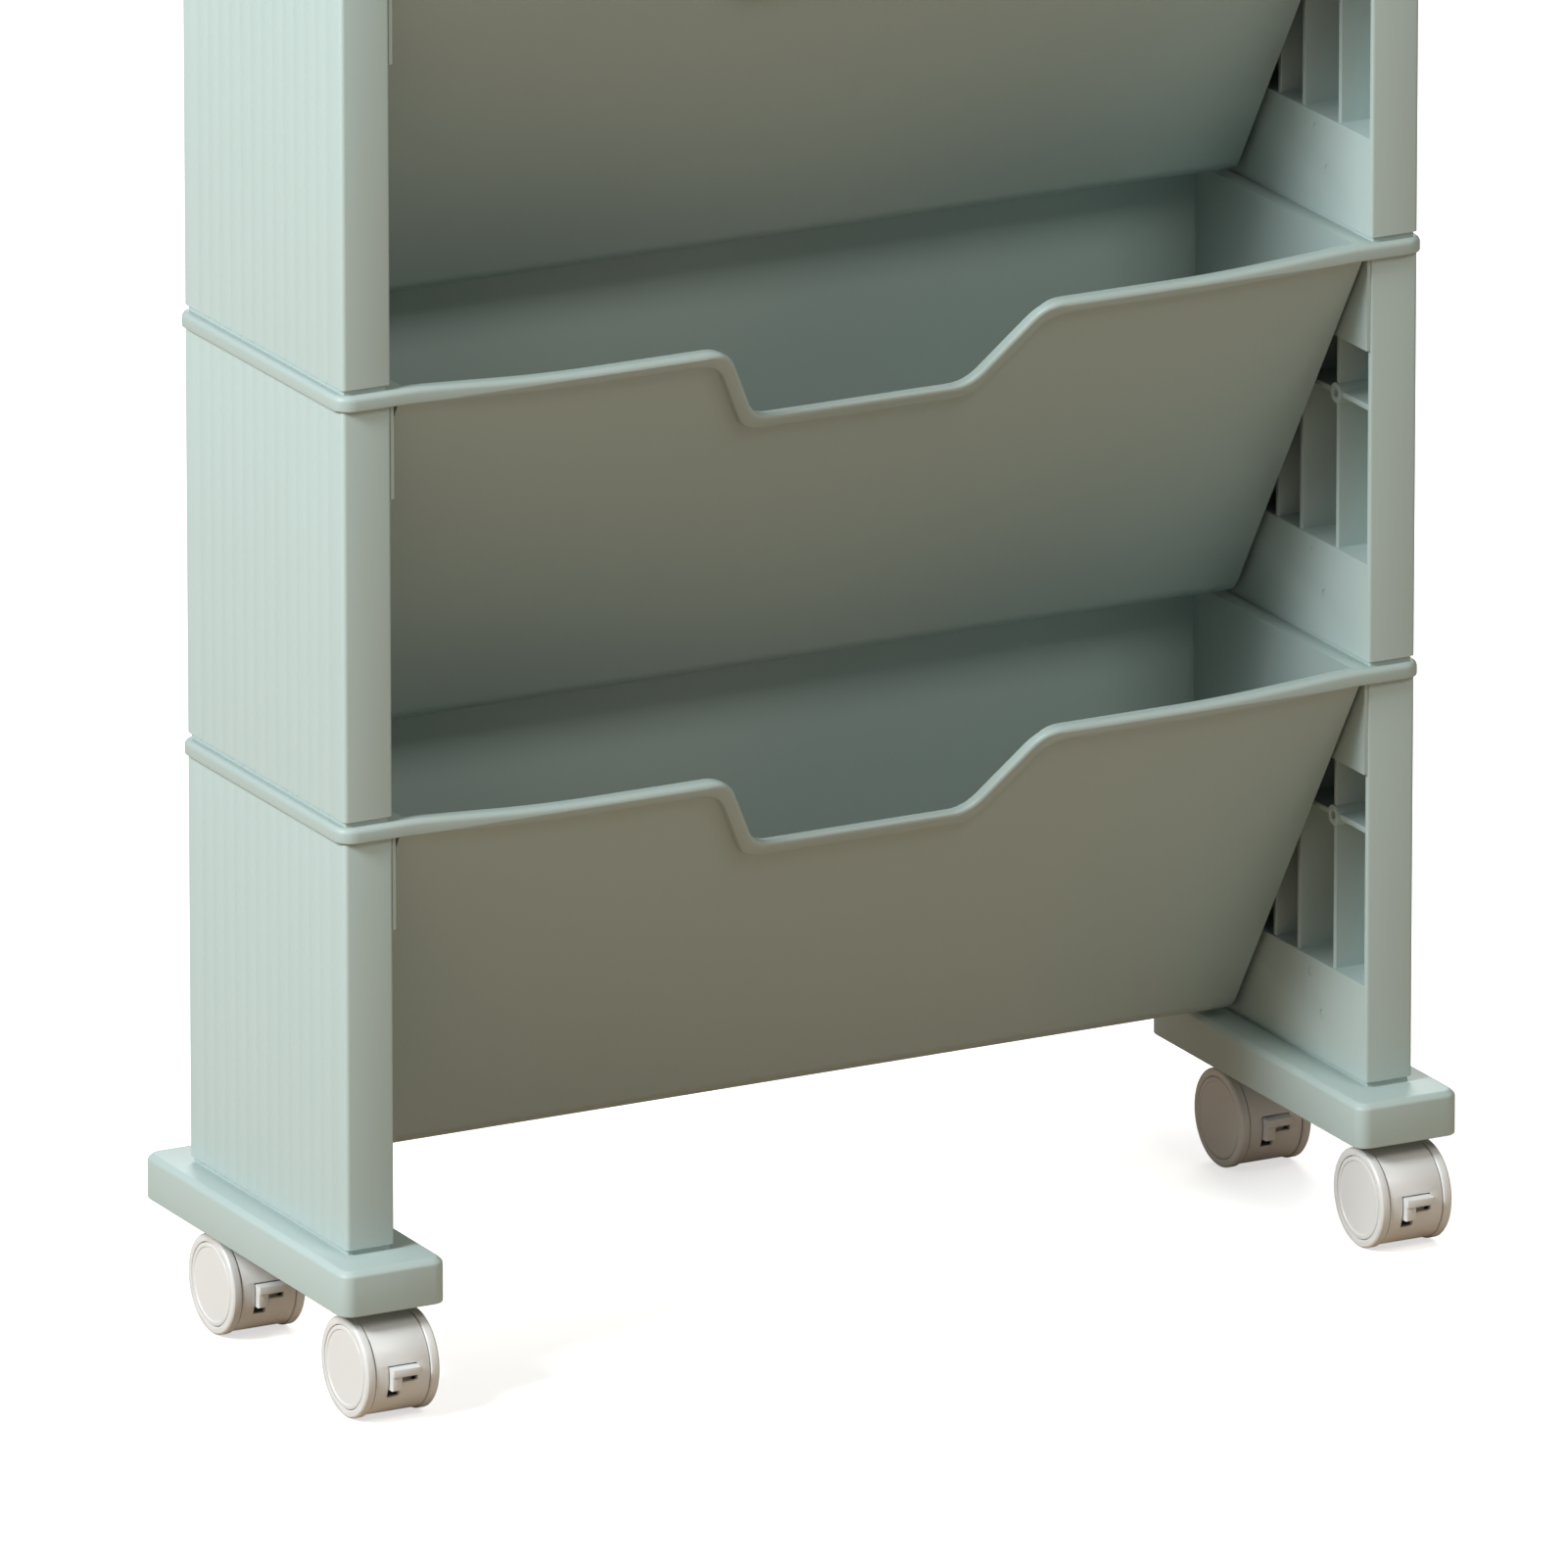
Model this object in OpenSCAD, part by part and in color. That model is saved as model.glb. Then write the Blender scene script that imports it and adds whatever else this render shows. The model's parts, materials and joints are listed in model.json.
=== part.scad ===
// Mobile book cart: stacked tiers of two hollow side panels and one slanted tray,
// standing on two foot bars with four braked twin-wheel castors.
// Origin on the floor under the middle of the overall box. Front is -Y, up is +Z.

/* [Overall] */
// Number of stacked tiers
tiers = 3; // [2:1:4]
// Width over the outer faces of the side panels
body_w = 386; // [300:1:470]
// Depth of the side panels, front to back
body_d = 111; // [92:1:150]
// Height from one tray rim to the next
tier_pitch = 142; // [118:1:180]

/* [Side panels] */
// Thickness of a hollow side panel
panel_t = 17; // [15:0.5:24]
// Wall of a side panel
panel_wall = 2; // [1.6:0.1:2.6]
// Wall across the top and bottom of a panel
panel_deck = 2.5; // [2:0.5:4]
// Radius of the outer upright corners
panel_corner_r = 1.5; // [1:0.25:5]
// Height of the flat kick plate low on the inner side
kick_plate_h = 34; // [20:1:45]
// Thickness of the stiffening ribs
rib_t = 2; // [1.2:0.2:3]
// Distance from the middle to the first pair of upright ribs
rib_inner_y = 8; // [6:0.5:10]
// Distance from the middle to the second pair of upright ribs
rib_outer_y = 32; // [30:0.5:36]
// How far the ribs stop short of the inner plane
rib_recess = 1; // [0.5:0.5:3]
// Distance from the rim top down to the rib screw bosses
boss_drop = 56; // [50:1:62]
// Radius of a rib screw boss
boss_r = 3.4; // [3:0.1:5]
// Radius of the hole in a rib screw boss
boss_hole_r = 1.4; // [1:0.1:2]
// Depth of the hole in a rib screw boss
boss_hole_depth = 8; // [4:1:10]
// Distance between the upright flutes
flute_pitch = 7.5; // [5:0.5:12]
// Width of one flute
flute_w = 1.8; // [0.8:0.1:3]
// Depth of one flute
flute_depth = 0.2; // [0.1:0.05:0.6]
// Smooth margin beside the flutes
flute_margin = 10; // [6:0.5:16]
// Height of the shadow groove under a panel
seat_groove_h = 1.8; // [0.6:0.1:2.4]
// Depth of the shadow groove under a panel
seat_groove_depth = 1.2; // [0.4:0.1:1.6]

/* [Stacking pegs] */
// Radius of a stacking peg
peg_r = 4; // [3:0.25:5]
// Length of a stacking peg below the panel
peg_len = 12; // [10:0.5:14]
// Distance of each peg from the middle of the panel
peg_y = 20; // [17:0.5:22]
// Gap around a peg in its socket
peg_gap = 0.15; // [0.1:0.05:0.3]
// Wall around a peg socket
socket_wall = 2.2; // [1.6:0.1:2.6]

/* [Trays] */
// Wall of a tray
tray_wall = 2.2; // [1.8:0.1:3]
// Height of the rolled rim
rim_h = 5; // [4:0.25:7]
// Overhang of the rim outside the panels
rim_over = 2; // [1:0.25:3]
// Plan radius of the rim's corners
rim_corner_r = 6; // [3:0.5:10]
// Gap between a tray's end wall and the panel beside it
tray_end_gap = 3; // [2:0.25:6]
// Gap between the tray's bottom and the rim or foot below
tray_bottom_gap = 2.6; // [1.5:0.1:8]
// Width of the tray's flat bottom, front to back
tray_bottom_w = 22; // [16:1:34]
// Lean of the back wall over its height
tray_back_lean = 3; // [0:0.5:8]
// Radius of the tray's bottom edges
tray_bottom_r = 6; // [3:0.5:8]
// Dip of the front rim between the end shelves
rim_dip = 3; // [0:0.5:6]
// Half width of the finger notch at the rim
notch_top = 57; // [45:1:75]
// Half width of the finger notch at its bottom
notch_bottom = 38.5; // [28:0.5:44]
// Depth of the finger notch below the rim top
notch_depth = 32; // [22:1:42]
// Height of the skirt that laps the panel's inner side
skirt_h = 36; // [20:1:45]
// Thickness of the skirt
skirt_t = 1.2; // [0.8:0.1:2]

/* [Feet] */
// Height of a foot bar
foot_h = 15; // [13:0.5:20]
// Width of a foot bar
foot_w = 37; // [34:0.5:44]
// How far a foot bar reaches past the panel, front and back
foot_reach = 15.5; // [12:0.5:24]
// Sideways shift of the foot towards the middle of the cart
foot_shift = 1; // [0:0.5:3]
// Radius of the foot's upright corners
foot_corner_r = 4.5; // [3:0.5:8]
// Chamfer round the foot's top
foot_edge = 1.6; // [0.8:0.1:2.4]
// Outer wall of a foot bar
foot_wall = 2.4; // [1.8:0.1:3]
// Top wall of a foot bar
foot_deck = 3; // [2:0.25:4]
// Distance from the middle to a castor stem
stem_y = 47; // [43:0.5:60]

/* [Castors] */
// Radius of a castor wheel
wheel_r = 16.5; // [13.5:0.25:20]
// Width over both wheels of a castor
castor_w = 26; // [24:0.5:32]
// Distance from the wheel top to the foot
castor_headroom = 3.5; // [3.5:0.25:6]
// Distance from the stem to the wheel axle, across the floor
trail = 13; // [11:0.25:15]
// Width of the wheel's tread flange
tread_w = 3.2; // [2.6:0.1:3.6]
// Gap between the hood and each wheel flange
hood_gap = 0.3; // [0.2:0.05:0.5]
// How far the hood's skin lies inside the tread
hood_inset = 0.4; // [0.3:0.05:0.8]
// Wall of the hood's skin
hood_wall = 1.6; // [1.2:0.1:2]
// Radius of the castor stem
stem_r = 3.5; // [3:0.1:4]
// Running clearance of pins and stems in their bores
pin_clear = 0.05; // [0.02:0.01:0.09]
// Radius of the wheel axle
axle_r = 2; // [1.5:0.1:2.4]
// Width of the brake tab
tab_w = 9.6; // [8:0.2:10]
// How far the brake tab stands out of the hood
tab_reach = 2.8; // [1.5:0.1:4]

/* [Hidden] */
$fn = 48;
fine_fn = 96;
eps = 0.01;
over = 1; // how far a cut runs past the face it opens
half_w = body_w / 2;
half_d = body_d / 2;
inner_x = half_w - panel_t;
panel_x = half_w - panel_t / 2;
panel_h = tier_pitch - rim_h;
boss_z = tier_pitch - boss_drop;
socket_r = peg_r + peg_gap;
socket_outer_r = socket_r + socket_wall;
peg_spare = 0.5;
panel_socket_depth = peg_len - rim_h + peg_spare;

foot_x = panel_x - foot_shift;
foot_d = body_d + 2 * foot_reach;
castor_h = 2 * wheel_r + castor_headroom;
foot_top = castor_h + foot_h;

// Tray section, measured from the rim top: the front wall stands for the rim's
// height and then slopes back to the flat bottom
tray_end_x = inner_x - tray_end_gap;
tray_depth = tier_pitch - tray_bottom_gap;
wall_set_in = 0.5;
front_y = wall_set_in - half_d;
back_y = half_d - wall_set_in;
bottom_back_y = back_y - tray_back_lean;
bottom_front_y = bottom_back_y - tray_bottom_w;
front_slope = (bottom_front_y - front_y) / (tray_depth - rim_h);
skirt_gap = 0.1;
shelf_edge = 6;
dip_run = 46;
dip_start_x = tray_end_x - shelf_edge;
dip_end_x = dip_start_x - dip_run;
dip_top_r = 5;
dip_low_r = 20;
notch_top_r = 7;
notch_low_r = 6;
bead_end_gap = 0.5;

// Castor layout round the wheel axle
axle_z = wheel_r;
ear_r = 3.3;
ear_t = 1.1;
ear_gap = 0.3;
wheel_face = castor_w / 2;
flange_x = wheel_face - tread_w;
hood_half = flange_x - hood_gap;
hood_r = wheel_r - hood_inset;
hood_inner_r = hood_r - hood_wall;
wheel_rim_gap = 0.5;
wheel_rim_r = hood_inner_r - wheel_rim_gap;
wheel_rim_wall = 1.9;
wheel_soft = 0.6;
neck_wall = 2.5;
neck_r = stem_r + neck_wall;
neck_gap = 0.6;
ear_side_gap = 0.4;
wheel_rim_x = max(neck_r + neck_gap, tab_w / 2 + ear_gap + ear_t + ear_side_gap);
hub_r = 5;
hub_x = 3;
cap_recess = 1.4;
cap_gap = 0.25;
cap_bed = 0.05;
cap_stand = 0.02;
cap_soft = 0.5;
cap_crown = 0.1;
tread_band = 2.9;
cap_r = wheel_r - tread_band;
web_half = 2.4;
neck_top_gap = 2;
neck_top = castor_h - neck_top_gap;
neck_floor = 2.5;
hood_floor_z = 2.4;
stem_foot_z = axle_z + 1;
stem_foot_gap = 0.4;
stem_len_in_foot = 11;
stem_end_room = 1;
collar_over = 3;
collar_r = stem_r + collar_over;
collar_t = 1.3;
collar_gap = 0.05;
ring_over = 0.6;
ring_r = stem_r + ring_over;
ring_h = 4;
ring_up = 5;
ring_z = castor_h + ring_up;
ring_end_gap = 0.1;
ring_slit = 1.2;
ring_groove = 0.5;
groove_r = stem_r - ring_groove;
axle_grip = 0.02;
stem_boss_in = 4;
lever_pin_r = 1.2;
lever_boss_r = 2;
lever_pivot_angle = 41;
ear_sink = 0.3;
lever_pivot = (hood_inner_r - ear_r + ear_sink)
              * [-cos(lever_pivot_angle), sin(lever_pivot_angle)];
lever_skin_gap = 2.3;
lever_face = lever_skin_gap - hood_inner_r;
lever_t = 2.2;
lever_low = -4.4;
lever_high = 5;
lever_back_high = 4;
lever_back_end = [1.3, -1.5];
lever_face_end = [-0.9, 1.3];
pin_end_gap = 0.1;

// Brake tab and the window it stands out of, from the axle's height
tab_low = 0.4;
tab_high = 3.2;
tab_root = 0.2;
leg_set_back = 0.8;
leg_low = -4.2;
leg_join = 0.1;
window_side = 0.3;
leg_window_side = 0.4;
window_low = -2.2;
window_high = 3.6;
leg_window_low = -7;
window_depth = 3;

// Half the difference of the front and rear reach centres the overall box
front_reach = max(stem_y + trail + hood_r + tab_reach, half_d + foot_reach);
rear_reach = max(stem_y - trail + wheel_r, half_d + foot_reach);
centre_shift = (front_reach - rear_reach) / 2;

SIDES = ["left", "right"];
CORNERS = ["front_left", "front_right", "rear_left", "rear_right"];
CASTOR_PIECES = ["stem", "grip_ring", "hood", "axle", "wheel_outer", "wheel_inner",
                 "cap_outer", "cap_inner", "brake"];

sage = [0.70, 0.79, 0.76];
cream = [0.90, 0.87, 0.84];
steel = [0.75, 0.76, 0.78];

// ---- outlines ----

// Quarter-round steps of a corner centred on c, from angle a0
function corner_arc(c, r, a0, steps = 6) =
    [for (i = [0:steps]) c + r * [cos(a0 + 90 * i / steps), sin(a0 + 90 * i / steps)]];

// Rectangle w by d about the origin with round corners
function round_rect(w, d, r) = concat(
    corner_arc([w / 2 - r, d / 2 - r], r, 0),
    corner_arc([r - w / 2, d / 2 - r], r, 90),
    corner_arc([r - w / 2, r - d / 2], r, 180),
    corner_arc([w / 2 - r, r - d / 2], r, 270));

// Smooth turn at b, starting and ending at distance r from it
function soft_corner(a, b, c, r, steps = 6) =
    let (p = b + r * (a - b) / norm(a - b), q = b + r * (c - b) / norm(c - b))
    [for (i = [0:steps]) let (t = i / steps)
        (1 - t) * (1 - t) * p + 2 * t * (1 - t) * b + t * t * q];

// Unit normal of the line from a to b, on its right-hand side
function right_normal(a, b) = let (v = b - a) [v[1], -v[0]] / norm(v);

// Corner i of a polyline moved to its right by g, keeping the sides parallel
function shifted_corner(pts, i, g) =
    let (last = len(pts) - 1,
         n1 = right_normal(pts[max(i - 1, 0)], pts[max(i, 1)]),
         n2 = right_normal(pts[min(i, last - 1)], pts[min(i + 1, last)]))
    pts[i] + g * (n1 + n2) / (1 + n1 * n2);

// Polyline with every inner corner softened
function soft_line(pts, radii) =
    let (last = len(pts) - 1)
    concat([pts[0]],
           [for (i = [1:last - 1]) each soft_corner(pts[i - 1], pts[i], pts[i + 1], radii[i])],
           [pts[last]]);

// Top edge of the tray's front, left to right, seen from the front
edge_corners = [
    [-tray_end_x, 0],
    [-dip_start_x, 0],
    [-dip_end_x, -rim_dip],
    [-notch_top, -rim_dip],
    [-notch_bottom, -notch_depth],
    [notch_bottom, -notch_depth],
    [notch_top, -rim_dip],
    [dip_end_x, -rim_dip],
    [dip_start_x, 0],
    [tray_end_x, 0]];
edge_radii = [0, dip_top_r, dip_low_r, notch_top_r, notch_low_r,
              notch_low_r, notch_top_r, dip_low_r, dip_top_r, 0];

// The same edge lowered by g
function edge_line(g) =
    soft_line([for (i = [0:len(edge_corners) - 1]) shifted_corner(edge_corners, i, g)],
              edge_radii);

// Tray section in Y and Z with every wall moved in by inset
function tray_section(inset) =
    let (lean = inset * norm([1, front_slope]),
         low = inset - tray_depth,
         r = tray_bottom_r - inset / 2,
         top_front = [front_y + inset, 0],
         bend = [front_y + inset, -rim_h],
         low_front = [bottom_front_y + lean - front_slope * inset, low],
         low_back = [bottom_back_y - inset, low],
         top_back = [back_y - inset, 0])
    concat([top_front, bend],
           soft_corner(bend, low_front, low_back, r),
           soft_corner(low_front, low_back, top_back, r),
           [top_back]);

// Plan of a right-hand panel, with its fluted outer face at +X
function panel_plan() =
    let (r = panel_corner_r,
         span = body_d - 2 * flute_margin,
         count = floor(span / flute_pitch) + 1)
    concat(
        [[inner_x, -half_d]],
        corner_arc([half_w - r, r - half_d], r, 270),
        [for (i = [0:count - 1])
            let (y = (i - (count - 1) / 2) * flute_pitch)
            each [[half_w, y - flute_w / 2], [half_w - flute_depth, y],
                  [half_w, y + flute_w / 2]]],
        corner_arc([half_w - r, half_d - r], r, 0),
        [[inner_x, half_d]]);

// ---- helpers ----

// Extrude a Y-Z outline along X, or an X-Z outline along Y, about the middle
module along_x(length) rotate([90, 0, 90]) linear_extrude(length, center = true) children();
module along_y(length) rotate([90, 0, 0]) linear_extrude(length, center = true) children();

// Block given by its lowest and highest corners
module block(low, high) translate(low) cube(high - low);

// Upright rod from z0 to z1
module rod(r, z0, z1) translate([0, 0, z0]) cylinder(r = r, h = z1 - z0);

// Rod along X from x0 to x1, at y and z
module cross_rod(r, x0, x1, y = 0, z = 0)
    translate([x0, y, z]) rotate([0, 90, 0]) cylinder(r = r, h = x1 - x0);

// Solid of revolution about X from points of [radius, x]
module turned_x(points)
    rotate([90, 0, 0]) rotate([0, 90, 0]) rotate_extrude($fn = fine_fn) polygon(points);

// Place children at the front and the back
module front_and_back(y) for (s = [-1, 1]) translate([0, s * y, 0]) children();

// A right-hand piece as it is, a left-hand piece mirrored
module on_side(side) mirror([side == "left" ? 1 : 0, 0, 0]) children();

// ---- side panels ----

module panel_skin() {
    translate([0, 0, seat_groove_h])
        linear_extrude(panel_h - seat_groove_h) polygon(panel_plan());
    block([inner_x + seat_groove_depth, seat_groove_depth - half_d, 0],
          [half_w - seat_groove_depth, half_d - seat_groove_depth, seat_groove_h + eps]);
}

// The open hollow above the kick plate and the closed one behind it
module panel_hollow() {
    y = half_d - panel_wall;
    x = half_w - panel_wall;
    block([inner_x - over, -y, kick_plate_h], [x, y, panel_h - panel_deck]);
    block([inner_x + panel_wall, -y, panel_deck], [x, y, kick_plate_h + eps]);
}

module panel_ribs() {
    x0 = inner_x + rib_recess;
    x1 = half_w - panel_wall + eps;
    z0 = kick_plate_h - panel_wall;
    z1 = panel_h - panel_deck + eps;
    for (y = [rib_inner_y, rib_outer_y])
        front_and_back(y) block([x0, -rib_t / 2, z0], [x1, rib_t / 2, z1]);
    block([x0, panel_wall / 2 - half_d, boss_z - rib_t / 2],
          [x1, half_d - panel_wall / 2, boss_z + rib_t / 2]);
    block([inner_x + eps, panel_wall / 2 - half_d, kick_plate_h - panel_wall],
          [x1, half_d - panel_wall / 2, kick_plate_h]);
    front_and_back(rib_outer_y) cross_rod(boss_r, inner_x, x1, 0, boss_z);
}

module side_panel(tier, side) {
    color(sage)
    on_side(side)
    translate([0, 0, foot_top + (tier - 1) * tier_pitch])
    difference() {
        union() {
            difference() {
                panel_skin();
                panel_hollow();
            }
            panel_ribs();
            translate([panel_x, 0, 0]) front_and_back(peg_y) {
                rod(peg_r, -peg_len, panel_deck);
                rod(socket_outer_r, panel_h - panel_socket_depth, panel_h - eps);
            }
        }
        translate([panel_x, 0, 0]) front_and_back(peg_y)
            rod(socket_r, panel_h - panel_socket_depth - eps, panel_h + over);
        front_and_back(rib_outer_y)
            cross_rod(boss_hole_r, inner_x - over, inner_x + boss_hole_depth, 0, boss_z);
    }
}

// ---- trays ----

module rim_plate() {
    translate([0, 0, -rim_h]) linear_extrude(rim_h)
        polygon(round_rect(body_w + 2 * rim_over, body_d + 2 * rim_over, rim_corner_r));
}

// Everything above the shaped front edge
module above_edge() {
    reach = tray_bottom_w + half_d;
    translate([0, -reach / 2 - rim_over, 0]) along_y(reach)
        polygon(concat(edge_line(0), [[tray_end_x, rim_h], [-tray_end_x, rim_h]]));
}

// The rolled edge that follows the notch down the sloping front
module notch_bead() {
    low = -notch_depth - 2 * rim_h;
    back = front_slope * (-low - rim_h);
    out_y = -half_d - rim_over;
    in_y = front_y + tray_wall;
    under = edge_line(rim_h);
    intersection() {
        along_x(2 * (tray_end_x - bead_end_gap)) polygon([
            [out_y, 0], [out_y, -rim_h], [out_y + back, low],
            [in_y + back, low], [in_y, -rim_h], [in_y, 0]]);
        along_y(2 * body_d) polygon(concat(
            edge_line(0), [for (i = [len(under) - 1:-1:0]) under[i]]));
    }
}

module skirts() {
    x1 = inner_x - skirt_gap;
    for (s = [0, 1]) mirror([s, 0, 0])
        block([x1 - skirt_t, front_y, -skirt_h], [x1, back_y, -rim_h + eps]);
}

module tray(tier) {
    color(sage)
    translate([0, 0, foot_top + tier * tier_pitch])
    difference() {
        union() {
            rim_plate();
            along_x(2 * tray_end_x) polygon(tray_section(0));
            notch_bead();
            skirts();
        }
        along_x(2 * (tray_end_x - tray_wall))
            polygon(concat(tray_section(tray_wall),
                           [[back_y - tray_wall, over], [front_y + tray_wall, over]]));
        above_edge();
        for (s = [-1, 1]) translate([s * panel_x, 0, 0]) front_and_back(peg_y)
            rod(socket_r, -rim_h - over, over);
    }
}

// ---- feet ----

module foot_block() {
    hull() {
        linear_extrude(foot_h - foot_edge) polygon(round_rect(foot_w, foot_d, foot_corner_r));
        linear_extrude(foot_h) polygon(round_rect(
            foot_w - 2 * foot_edge, foot_d - 2 * foot_edge, foot_corner_r - foot_edge / 2));
    }
}

module foot(side) {
    socket_x = panel_x - foot_x;
    stem_boss_r = foot_w / 2 - foot_wall - stem_boss_in;
    color(sage)
    on_side(side)
    translate([foot_x, 0, castor_h])
    difference() {
        union() {
            difference() {
                foot_block();
                translate([0, 0, -over]) linear_extrude(foot_h - foot_deck + over)
                    polygon(round_rect(foot_w - 2 * foot_wall, foot_d - 2 * foot_wall,
                                       foot_corner_r - foot_wall / 2));
            }
            front_and_back(stem_y) rod(stem_boss_r, 0, foot_h - foot_deck + eps);
            translate([socket_x, 0, 0]) front_and_back(peg_y)
                rod(socket_outer_r, 0, foot_h - foot_deck + eps);
            block([-rib_t / 2, foot_wall - foot_d / 2 - eps, 0],
                  [rib_t / 2, foot_d / 2 - foot_wall + eps, foot_h - foot_deck + eps]);
        }
        front_and_back(stem_y) rod(ring_r + pin_clear, -over, stem_len_in_foot + stem_end_room);
        translate([socket_x, 0, 0]) front_and_back(peg_y)
            rod(socket_r, foot_h - peg_len - peg_spare, foot_h + over);
    }
}

// ---- castors, built about their own stem axis ----

module stem() {
    color(steel)
    difference() {
        union() {
            rod(stem_r, stem_foot_z, castor_h + stem_len_in_foot);
            rod(collar_r, castor_h - collar_t, castor_h - collar_gap);
        }
        difference() {
            rod(stem_r + over, ring_z, ring_z + ring_h);
            rod(groove_r, ring_z - over, ring_z + ring_h + over);
        }
    }
}

// Split spring ring that grips the foot's bore
module grip_ring() {
    color(steel)
    difference() {
        rod(ring_r, ring_z + ring_end_gap, ring_z + ring_h - ring_end_gap);
        rod(groove_r + pin_clear, ring_z - over, ring_z + ring_h + over);
        block([-ring_slit / 2, 0, ring_z - over],
              [ring_slit / 2, ring_r + over, ring_z + ring_h + over]);
    }
}

module hood_skin() {
    difference() {
        cross_rod(hood_r, -hood_half, hood_half, $fn = fine_fn);
        cross_rod(hood_inner_r, -hood_half - over, hood_half + over, $fn = fine_fn);
    }
    difference() {
        cross_rod(hood_inner_r + hood_wall / 8, -web_half, web_half, $fn = fine_fn);
        lever_room();
    }
}

// Space in the hood's web for the brake lever, clear of the skin
module lever_room() {
    low = lever_low - lever_t - lever_boss_r;
    intersection() {
        cross_rod(hood_inner_r, -web_half - over, web_half + over, $fn = fine_fn);
        block([-web_half - over, -hood_r, low],
              [web_half + over, lever_pivot[0] + ear_r, hood_r]);
    }
}

// Opening in the hood's front: a wide part for the tab and a long one for its leg
module tab_window() {
    half = tab_w / 2 + window_side;
    back = window_depth - hood_inner_r;
    block([-half, -hood_r - over, window_low], [half, back, window_high]);
    block([-half, -hood_r - over, leg_window_low],
          [leg_window_side - half / 4, back, window_high]);
}

module hood() {
    lever_half = tab_w / 2 + ear_gap;
    color(cream)
    difference() {
        union() {
            translate([0, -trail, axle_z]) difference() {
                hood_skin();
                tab_window();
            }
            rod(neck_r, stem_foot_z - neck_floor, neck_top);
            for (s = [0, 1]) mirror([s, 0, 0])
                cross_rod(ear_r, lever_half, lever_half + ear_t,
                          lever_pivot[0] - trail, lever_pivot[1] + axle_z);
        }
        rod(3 * wheel_r, -over, hood_floor_z);
        rod(stem_r + pin_clear, stem_foot_z - stem_foot_gap, neck_top + over);
        cross_rod(axle_r + axle_grip, -hood_half, hood_half, -trail, axle_z);
        cross_rod(lever_pin_r + pin_clear, -hood_half, hood_half,
                  lever_pivot[0] - trail, lever_pivot[1] + axle_z);
    }
}

module axle() {
    end = wheel_face - cap_recess;
    color(steel) cross_rod(axle_r, -end, end, -trail, axle_z);
}

// Wheel on the +X side: hub, disc, tread flange and an inner rim under the hood
module wheel() {
    bore = axle_r + pin_clear;
    disc = wheel_face - cap_recess - cap_bed;
    lip = cap_r + cap_gap;
    color(cream) translate([0, -trail, axle_z]) turned_x([
        [bore, hub_x], [hub_r, hub_x], [hub_r, flange_x], [wheel_rim_r - wheel_rim_wall, flange_x],
        [wheel_rim_r - wheel_rim_wall, wheel_rim_x], [wheel_rim_r, wheel_rim_x],
        [wheel_rim_r, flange_x], [wheel_r - wheel_soft / 2, flange_x],
        [wheel_r, flange_x + wheel_soft / 2], [wheel_r, wheel_face - wheel_soft],
        [wheel_r - wheel_soft, wheel_face], [lip, wheel_face],
        [lip, disc], [bore, disc]]);
}

// Disc that closes the wheel's outer face
module cap() {
    back = wheel_face - cap_recess;
    color(cream) translate([0, -trail, axle_z]) turned_x([
        [0, back + cap_stand], [cap_r, back + cap_stand], [cap_r, wheel_face - cap_soft],
        [cap_r - cap_soft, wheel_face - cap_crown], [0, wheel_face]]);
}

// Lever inside the hood with its tab standing out at the front
module brake() {
    half = tab_w / 2;
    pin_half = half + ear_gap + ear_t - pin_end_gap;
    out_y = -hood_r - tab_reach;
    color(cream) translate([0, -trail, axle_z]) {
        along_x(tab_w) polygon([
            [lever_face, lever_low], [lever_face + lever_t, lever_low],
            [lever_face + lever_t, lever_back_high], lever_pivot + lever_back_end,
            lever_pivot + lever_face_end, [lever_face, lever_high]]);
        cross_rod(lever_boss_r, -half, half, lever_pivot[0], lever_pivot[1]);
        cross_rod(lever_pin_r, -pin_half, pin_half, lever_pivot[0], lever_pivot[1]);
        block([-half, out_y, tab_low], [half, lever_face + tab_root, tab_high]);
        block([-half, out_y + leg_set_back, leg_low],
              [-half / 4, lever_face + tab_root, tab_low + leg_join]);
    }
}

module castor_piece(piece, outer) {
    flip = (piece == "wheel_outer" || piece == "cap_outer") == (outer < 0) ? 1 : 0;
    if (piece == "stem") stem();
    if (piece == "grip_ring") grip_ring();
    if (piece == "hood") hood();
    if (piece == "axle") axle();
    if (piece == "brake") brake();
    mirror([flip, 0, 0]) {
        if (piece == "wheel_outer" || piece == "wheel_inner") wheel();
        if (piece == "cap_outer" || piece == "cap_inner") cap();
    }
}

// One piece of the castor at a corner; its stem stands under the foot
module castor_part(corner, piece) {
    is_left = corner == "front_left" || corner == "rear_left";
    is_front = corner == "front_left" || corner == "front_right";
    outer = is_left ? -1 : 1;
    translate([outer * foot_x, (is_front ? -1 : 1) * stem_y, 0]) castor_piece(piece, outer);
}

// ---- the cart ----

// Centre the overall box on the origin, front to back
module centred() translate([0, centre_shift, 0]) children();

for (side = SIDES)
    centred() foot(side);
for (tier = [1:tiers], side = SIDES)
    centred() side_panel(tier, side);
for (tier = [1:tiers])
    centred() tray(tier);
for (corner = CORNERS, piece = CASTOR_PIECES)
    centred() castor_part(corner, piece);
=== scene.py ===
"""Mobile book cart: the moulded surfaces, finishes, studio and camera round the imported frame."""

import json
import logging
import math
from collections.abc import Callable, Iterator
from contextlib import contextmanager
from dataclasses import dataclass, field
from enum import Enum

import bmesh
import bpy
from mathutils import Matrix, Vector


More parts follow.
